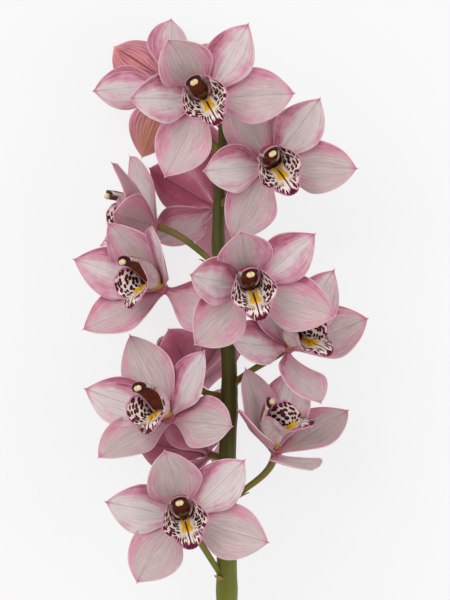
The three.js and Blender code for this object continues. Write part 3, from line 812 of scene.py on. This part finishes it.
def lip_finish(look):
    finish = Finish("lip_skin")
    mix = finish.mix
    x, y, edge, keel, reverse, draw = finish.attributes(LIP_VALUES)
    place = finish.vector(x, y, draw * 50.0)
    jitter = finish.noise(place, 0.35, 2.0) - 0.5

    # Oblong spots cover the side lobes, and dashes fan out over the front lobe.
    ahead = y - 4.0
    turn = x.math("ARCTAN2", ahead) + jitter * 0.08
    reach = (x * x + ahead * ahead).math("SQRT") + jitter * 1.2
    spread = reach.math("LOGARITHM", math.e)
    dots = finish.cells(finish.vector(x * 0.34 + draw * 13.0, y * 0.56 + abs(x) * 0.08), 0.75)
    dashes = finish.cells(finish.vector(turn * 16.0 + draw * 29.0, spread * 4.6 + draw * 3.0), 0.5)
    front = y.between(21.0, 26.0)
    spots = (dots + jitter * 0.12).between(0.48, 0.39) * (1.0 - front)
    spots = spots + dashes.between(0.47, 0.39) * front
    clear = abs(x).between(3.6, 5.6) * (1.0 - front) + abs(x).between(1.0, 2.4) * front
    clear = clear.clamped() * edge.between(0.5, 1.3)
    seam = abs(x + jitter * 0.5).between(0.6, 0.3) * y.between(9.0, 13.0)
    blotch = (abs(x) + edge * 0.8).between(4.6, 3.2) * y.between(27.5, 29.5) * edge.between(0.3, 1.0)
    marks = (spots * clear + seam + blotch).clamped()

    ground = mix((edge + jitter * 3.0).between(3.0, 0.6), look.ground, look.edge)
    ends = abs(abs(x) - 2.2).between(1.9, 0.6) * y.between(16.0, 18.5) * y.between(23.0, 20.5)
    between_keels = abs(x).between(2.6, 0.8) * y.between(11.0, 15.0) * y.between(24.0, 19.0)
    yellow = keel.between(0.1, 0.45) + ends * (0.75 + jitter) + between_keels * 0.6
    ground = mix(yellow, ground, look.keel_colour)
    dark = mix(reach.between(10.0, 22.0), look.dark_spot, look.spot)
    face = mix(marks, ground, dark)
    throat = (y + jitter * 2.0).between(9.5, 7.5) * (1.0 - keel * 0.9)
    face = mix(throat, face, look.throat)
    shown = mix(spots * clear * 0.35, look.outside, look.edge)
    shown = mix(edge.between(3.0, 0.3) * y.between(9.0, 14.0) * 0.8, shown, look.edge)
    shown = mix((y + jitter * 3.0).between(8.0, 3.0), shown, look.foot)
    both = mix(reverse, face, shown)
    pile = finish.noise(place, 3.0, 3.0, 0.6)
    return finish.surface(
        Base_Color=both, Roughness=0.42 + marks * 0.08,
        Normal=finish.bump(pile * 0.6 + marks * 0.2, 0.4, 0.0002),
        flesh=(0.08, (1.0, 0.5, 0.4), 0.0007), Specular_IOR_Level=0.15,
    )


# ---------------- columns and anthers

COLUMN_VALUES = ("along", "top")
COLUMN_RINGS = 44
COLUMN_SIDES = 32
HOLLOW = 2.0  # depth of the hollow underside
HOOD_RISE = 0.9
FLARE = 0.54  # how far the sides widen beside the hood
SEAT_DEPTH = 0.3  # how far behind the end the bowl's middle lies
BOWL = [(0.86, 0.18), (0.6, 0.36), (0.2, 0.36)]  # share of the end's width, and depth


def add_column(made, settings):
    t = np.linspace(0, 1, COLUMN_RINGS)
    line = bezier(COLUMN_CURVE, t)
    radii = through(COLUMN_RADII, COLUMN_RINGS)
    ring, (side, up, forward) = rings(line, radii, COLUMN_SIDES)
    turn = turns(COLUMN_SIDES)
    top = np.sin(turn)
    # The underside is hollowed, and the top draws out into a hood over the anther.
    hollow = HOLLOW * smooth(0.15, 0.6, t)[:, None] * clamp01(-top) ** 2
    ending = smooth(0.82, 1.0, t)[:, None]
    hood = ending * clamp01(top) ** 1.3
    ring = ring + up[:, None] * (hollow + HOOD_RISE * hood)[..., None]
    ring = ring + forward[:, None] * (settings.hood / MM * hood)[..., None]
    ring = ring + side[:, None] * (FLARE * ending * np.cos(turn))[..., None]
    # The end is a shallow bowl behind the anther.
    end = ring[-1]
    seat = line[-1] - forward[-1] * SEAT_DEPTH
    inner = [seat + (end - seat) * share - forward[-1] * depth for share, depth in BOWL]
    along = np.concatenate([t, [1.05, 1.1, 1.15]])
    made.add(np.concatenate([ring, inner]), along=along[:, None], top=top)


def column_finish(look):
    finish = Finish("column_skin")
    mix = finish.mix
    along, top = finish.attributes(COLUMN_VALUES)
    where = finish.place()
    mottle = finish.noise(where, 420.0, 3.0) - 0.5
    skin = mix(along.between(0.34, 0.05), look.side, look.foot)
    patch = along.between(0.45, 0.8) * top.between(-0.1, 0.6) + mottle * 0.7
    skin = mix(patch.between(0.4, 0.95), skin, look.patch)
    dark = mix(along.between(0.75, 0.95), look.under, look.hood_inside)
    dark = mix(mottle * 2.5 + 0.1, dark, look.hood_inside)
    below = (top + mottle * 0.3).between(-0.44, -0.7)
    streaks = (mottle * 3.0 + 0.2).clamped() * top.between(0.35, -0.2) * along.between(0.3, 0.5)
    skin = mix(streaks, skin, look.hood_inside)
    skin = mix(below * (along + mottle * 0.3).between(0.12, 0.24), skin, dark)
    skin = mix(along.between(0.985, 1.02), skin, look.hood_inside)
    rim = along.between(0.93, 0.97) * along.between(1.0, 0.985) * top.between(-0.3, 0.2)
    skin = mix(rim * 0.5, skin, look.side)
    return finish.surface(
        Base_Color=skin, Roughness=0.5, Specular_IOR_Level=0.25,
        Normal=finish.bump(finish.noise(where, 1500.0, 3.0), 0.25, 0.0002),
        flesh=(0.1, (1.0, 0.5, 0.4), 0.001),
    )


ANTHER_VALUES = ("along", "seam")
ANTHER_RINGS = 22
ANTHER_SIDES = 40
SEAM = {"depth": 0.35, "width": 0.2}
SMALLEST_END = 0.12  # share of the radius that is left at each end


def rounded(t, first, last):
    """A tube's share of its radius at t, rounded off over the shares `first` and `last` at its ends."""
    start = clamp01(1 - clamp01(1 - t / first) ** 2)
    end = clamp01(1 - clamp01((t - 1 + last) / last) ** 2)
    return np.maximum(np.sqrt(start * end), SMALLEST_END)


def add_anther(made):
    t = np.linspace(0, 1, ANTHER_RINGS)
    line = through(ANTHER_LINE, ANTHER_RINGS)
    radii = through(ANTHER_RADII, ANTHER_RINGS)
    radii = radii * rounded(t, 0.12, 0.2)[:, None]
    ring, (_, up, _) = rings(line, radii, ANTHER_SIDES)
    # A seam parts the cap's two halves.
    turn = turns(ANTHER_SIDES)
    seam = np.exp(-(np.cos(turn) / SEAM["width"]) ** 2)
    sink = SEAM["depth"] * seam * np.sin(turn) * smooth(0.1, 0.5, t)[:, None]
    ring = ring - up[:, None] * sink[..., None]
    made.add(ring, along=t[:, None], seam=seam)


def anther_finish(look):
    finish = Finish("anther_cap")
    along, seam = finish.attributes(ANTHER_VALUES)
    mottle = finish.noise(finish.place(), 700.0, 3.0)
    # The seam and uneven tone, and painted shade darkening the cap towards its foot under the hood
    seam_and_shade = seam * 0.75 + along.between(0.7, 0.2) * 0.3 + (mottle - 0.5) * 0.6
    return finish.surface(
        Base_Color=finish.mix(seam_and_shade, look.anther, look.anther_seam_and_shade),
        Roughness=0.3 + mottle * 0.1,
        Normal=finish.bump(mottle, 0.2, 0.0002), Specular_IOR_Level=0.5,
        flesh=(0.15, (1.0, 0.8, 0.4), 0.001),
    )


# ---------------- the stem

STEM_VALUES = ("height", "around", "cut", "stalk", "scale", "draw")
STEM_RINGS = 260
STEM_SIDES = 40
SWELL = {"rise": 0.35, "length": 5, "below": 3}  # under each flower stalk
RIBS = {"count": 9, "height": 0.025, "turn": 0.6}
CUT_RIM = {"share": 0.97, "height": 0.05}  # the edge of the cut end is broken a little
CURVE_STEPS = 160
PEDICEL_RINGS = 34
PEDICEL_SIDES = 18
COLLAR = {"rise": 1.3, "length": 4.2, "fade": 2.2}  # where a flower stalk joins the stem
GROOVES = {"count": 3, "depth": 0.06, "twist": 3.0}  # on the ovary
LEAST_STALK = 0.02  # the painted value from which the skin is a flower stalk's
BRACT_ROWS = 16
BRACT_COLUMNS = 8


def on_stem(y):
    xs, ys, zs, _ = np.array(SCAPE, float).T
    return ORIGIN + (np.interp(y, ys, xs), y, np.interp(y, ys, zs))


def add_stem(made):
    path = through(SCAPE, STEM_RINGS)
    line, radius = path[:, :3] + ORIGIN, path[:, 3]
    feet = [bloom["pedicel"][0] for bloom in BLOOMS.values()]
    away = [(path[:, 1] - foot + SWELL["below"]) / SWELL["length"] for foot in feet]
    radius = radius + SWELL["rise"] * sum(np.exp(-one ** 2) for one in away)
    turn = turns(STEM_SIDES)
    ribs = 1 + RIBS["height"] * np.cos(RIBS["count"] * turn + RIBS["turn"])
    ring, (_, _, forward) = rings(line, radius, STEM_SIDES, ribs)
    slant = CUT_SLANT * path[0, 3] * np.sin(turn)
    share = smooth(CUT_FADE, 0.0, np.linspace(0, 1, STEM_RINGS))
    ring = ring + forward[:, None] * (share[:, None] * slant)[..., None]
    end = line[0] + (ring[0] - line[0]) * CUT_RIM["share"] - forward[0] * CUT_RIM["height"]
    cut = np.zeros(STEM_RINGS + 1)
    cut[0] = 1.0
    made.add(
        np.concatenate([[end], ring]), around=turn, cut=cut[:, None],
        height=np.concatenate([line[:1, 1], line[:, 1]])[:, None],
    )


def pedicel_plan(bloom):
    """Where a flower stalk leaves the stem, how it sets out, and its points up to the bloom."""
    placed = bloom_frame(bloom)
    y, leaving, arriving = bloom["pedicel"]
    foot = on_stem(y)
    facing = placed[0][2]
    end = placed[1] + facing * (PEDICEL["back"] - PEDICEL["gap"])
    out = unit((end - foot) * (1, 0, 1))
    start = out * PEDICEL["outwards"] + (0, PEDICEL["upwards"], 0)
    landing = end - facing * PEDICEL["landing"]
    curve = bezier(
        [foot, foot + start * leaving, landing - facing * arriving, landing],
        np.linspace(0, 1, CURVE_STEPS),
    )
    length = np.concatenate([[0], np.cumsum(np.linalg.norm(np.diff(curve, axis=0), axis=1))])
    even = np.linspace(0, length[-1], PEDICEL_RINGS - 1)
    points = np.stack([np.interp(even, length, curve[:, k]) for k in range(3)], axis=1)
    return foot, unit(start), out, np.vstack([points, end])


def add_pedicel(made, bloom, draw):
    foot, _, _, points = pedicel_plan(bloom)
    away = np.linalg.norm(points - foot, axis=1)
    s = np.linspace(0, 1, len(points))
    collar = COLLAR["rise"] * np.exp(-(np.maximum(away - COLLAR["length"], 0) / COLLAR["fade"]) ** 2)
    radius = PEDICEL["radius"] + (PEDICEL["ovary"] - PEDICEL["radius"]) * s + collar
    turn = turns(PEDICEL_SIDES)
    s = s[:, None]
    wave = np.cos(GROOVES["count"] * turn + GROOVES["twist"] * s)
    groove = 1 + GROOVES["depth"] * smooth(0.45, 0.8, s) * wave
    ring, _ = rings(points, radius, PEDICEL_SIDES, groove)
    made.add(
        ring, height=points[:, 1:2], around=turn, stalk=np.maximum(s, LEAST_STALK), draw=draw.random(),
    )


def add_bract(made, bloom, draw):
    foot, start, out, _ = pedicel_plan(bloom)
    side = unit(np.cross(start, out))
    under = unit(np.array([0, -1, 0]) + start * start[1])
    s = np.linspace(0.05, 1, BRACT_ROWS)
    v = np.linspace(-1, 1, BRACT_COLUMNS + 1)
    line = foot + start * (BRACT["length"] * s)[:, None]
    line = line + under * (PEDICEL["radius"] + BRACT["clear"] + BRACT["spring"] * s * s)[:, None]
    half = (BRACT["half_width"] * np.sqrt(clamp01(1 - s ** 1.6)) + BRACT["tip"])[:, None]
    curl = BRACT["curl"] * np.sin(9 * s[:, None] + 4 * draw.random()) * v
    cup = BRACT["cup"] * half * v ** 2 + curl
    middle = line[:, None] + side * (half * v)[..., None] - under * cup[..., None]
    lift = -under * (BRACT["thickness"] / 2 * (1 - 0.5 * v ** 2))[..., None]
    points = np.stack([middle + lift, middle - lift])
    made.add(points, scale=1.0, height=points[..., 1], around=v, draw=draw.random(), stalk=s[:, None])


def stem_finish(look):
    finish = Finish("stem_skin")
    mix = finish.mix
    height, around, cut, stalk, scale, draw = finish.attributes(STEM_VALUES)
    fibres = finish.noise(finish.vector(around * 7.0, height * 0.05, draw * 40.0), 1.0, 4.0, 0.6)
    mottle = finish.noise(finish.place(), 110.0, 3.0)
    main = mix((height + (mottle - 0.5) * 60.0).between(-20.0, -150.0), look.high, look.low)
    main = mix((fibres - 0.35).clamped() * 0.5, main, look.low)
    slim = mix(stalk.between(0.35, 0.85), look.pedicel, look.ovary)
    slim = mix(mottle.between(0.45, 0.75) * 0.5 + fibres * 0.25, slim, look.high)
    skin = mix(stalk.between(0.0, LEAST_STALK), main, slim)
    dry = mix(fibres * 0.8, look.bract, look.pedicel)
    skin = mix(scale, skin, dry)
    skin = mix(cut, skin, look.cut)
    return finish.surface(
        Base_Color=skin, Roughness=0.42 + mottle * 0.16,
        Normal=finish.bump(fibres * 0.7 + mottle * 0.3, 0.3, 0.0004), Specular_IOR_Level=0.3,
    )


# ---------------- operators

SEED = 29


def draws():
    """Every bloom's letter, plan and own seeded draws."""
    for number, (letter, bloom) in enumerate(BLOOMS.items()):
        yield letter, bloom, random.Random(SEED + number)


def pieces(kind, finish, value_names):
    """For every bloom, an empty form to fill, the bloom's plan and its draws; what was put in the form
    then becomes the bloom's piece of this kind."""
    for letter, bloom, draw in draws():
        made = Form(value_names, bloom_frame(bloom))
        yield made, bloom, draw
        made.piece(f"{kind}_{letter}", finish, f"bloom_{letter}_{kind}")


class ORCHID_OT_tepals(Operator):
    """Make the sepals and petals of every bloom"""

    bl_idname = "orchid.tepals"
    bl_label = "Sepals and Petals"

    def execute(self, context):
        settings = context.scene.orchid_tepals
        for made, bloom, draw in pieces("tepals", tepal_finish(settings), TEPAL_VALUES):
            for name, pose in bloom["tepals"].items():
                add_tepal(made, name, pose, bloom["rosy"], settings, draw)
            add_receptacle(made)
        return {"FINISHED"}


class ORCHID_OT_lips(Operator):
    """Make the spotted lip of every bloom"""

    bl_idname = "orchid.lips"
    bl_label = "Lips"

    def execute(self, context):
        settings = context.scene.orchid_lips
        for made, _, draw in pieces("lip", lip_finish(settings), LIP_VALUES):
            add_lip(made, settings, draw)
        return {"FINISHED"}


class ORCHID_OT_columns(Operator):
    """Make the column of every bloom"""

    bl_idname = "orchid.columns"
    bl_label = "Columns"

    def execute(self, context):
        settings = context.scene.orchid_columns
        for made, _, _ in pieces("column", column_finish(settings), COLUMN_VALUES):
            add_column(made, settings)
        return {"FINISHED"}


class ORCHID_OT_anthers(Operator):
    """Make the anther cap of every bloom"""

    bl_idname = "orchid.anthers"
    bl_label = "Anther Caps"

    def execute(self, context):
        finish = anther_finish(context.scene.orchid_columns)
        for made, _, _ in pieces("anther", finish, ANTHER_VALUES):
            add_anther(made)
        return {"FINISHED"}


class ORCHID_OT_stem(Operator):
    """Make the stem with its flower stalks and bracts"""

    bl_idname = "orchid.stem"
    bl_label = "Stem"

    def execute(self, context):
        made = Form(STEM_VALUES)
        add_stem(made)
        for _, bloom, draw in draws():
            add_pedicel(made, bloom, draw)
            add_bract(made, bloom, draw)
        made.piece("stem", stem_finish(context.scene.orchid_stem), "scape")
        return {"FINISHED"}


FLOOR_SIZE = 8.0  # metres
FLOOR_DROP = 0.1  # the floor lies this far under the lowest points, so that nothing flickers
LIGHT_SIZE = 1.2  # metres, like the lights' places
KEY_PLACE = np.array([-0.9, 0.9, 1.6])
FILL_PLACE = np.array([1.1, -0.4, 1.3])
SENSOR_WIDTH = 36.0
WHITE = (1.0, 1.0, 1.0)


def soft_light(name, place, towards, power):
    light = bpy.data.lights.new(name, "AREA")
    light.shape = "SQUARE"
    light.size = LIGHT_SIZE
    light.energy = power
    made = bpy.data.objects.new(name, light)
    made.location = place
    made.rotation_euler = Vector(towards - place).to_track_quat("-Z", "Y").to_euler()
    made.visible_camera = False
    bpy.context.scene.collection.objects.link(made)


class ORCHID_OT_stage(Operator):
    """Make the plain floor, the soft lights and the camera"""

    bl_idname = "orchid.stage"
    bl_label = "Stage"

    def execute(self, context):
        settings = context.scene.orchid_stage
        scene = context.scene
        finish = Finish("pale_floor")
        grain = finish.noise(finish.place(), 900.0, 2.0)
        floor_skin = finish.surface(
            Base_Color=tuple(settings.floor), Roughness=0.85, Normal=finish.bump(grain, 0.05, 0.0002),
            Emission_Color=WHITE, Emission_Strength=settings.glow,
        )
        bpy.ops.mesh.primitive_plane_add(size=FLOOR_SIZE, location=(0, 0, -FLOOR_DROP * MM))
        floor = context.object
        floor.name = "floor"
        floor.data.materials.append(floor_skin)
        floor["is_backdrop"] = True

        world = bpy.data.worlds.new("studio")
        world.use_nodes = True
        scene.world = world
        surround = world.node_tree.nodes["Background"].inputs
        surround["Color"].default_value = (*WHITE, 1.0)
        surround["Strength"].default_value = settings.sky
        centre = ORIGIN * MM
        soft_light("key", KEY_PLACE, centre, settings.key)
        soft_light("fill", FILL_PLACE, centre, settings.fill)

        camera = bpy.data.cameras.new("camera")
        camera.lens = settings.lens
        camera.sensor_width = SENSOR_WIDTH
        made = bpy.data.objects.new("camera", camera)
        made.location = centre + (0, 0, settings.distance)
        scene.collection.objects.link(made)
        scene.camera = made
        scene.view_settings.view_transform = "Standard"
        return {"FINISHED"}


class ORCHID_PT_panel(Panel):
    """Lists the pieces of the stem and their settings"""

    bl_label = "Cymbidium Orchid Stem"
    bl_idname = "ORCHID_PT_panel"
    bl_space_type = "VIEW_3D"
    bl_region_type = "UI"
    bl_category = "Orchid"

    def draw(self, context):
        for operator in PIECES:
            box = self.layout.box()
            box.operator(operator.bl_idname)
            settings = getattr(context.scene, operator.bl_idname.replace(".", "_"), None)
            for key in settings.__annotations__ if settings else ():
                box.prop(settings, key)


GROUPS = {
    "orchid_tepals": TepalSettings, "orchid_lips": LipSettings, "orchid_columns": ColumnSettings,
    "orchid_stem": StemSettings, "orchid_stage": StageSettings,
}
PIECES = [
    ORCHID_OT_stage, ORCHID_OT_stem, ORCHID_OT_tepals, ORCHID_OT_lips, ORCHID_OT_columns,
    ORCHID_OT_anthers,
]
CLASSES = [*GROUPS.values(), *PIECES, ORCHID_PT_panel]


def register():
    for made in CLASSES:
        bpy.utils.register_class(made)
    for name, group in GROUPS.items():
        setattr(bpy.types.Scene, name, PointerProperty(type=group))


def unregister():
    for name in GROUPS:
        delattr(bpy.types.Scene, name)
    for made in reversed(CLASSES):
        bpy.utils.unregister_class(made)


def main():
    register()
    bpy.ops.orchid.stage()
    bpy.ops.orchid.stem()
    bpy.ops.orchid.tepals()
    bpy.ops.orchid.lips()
    bpy.ops.orchid.columns()
    bpy.ops.orchid.anthers()
    boxes = {"cad": CAD_BOX, "visual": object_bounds()}
    {name: [list(corner) for corner in box] for name, box in boxes.items()}


if __name__ == "__main__":
    main()
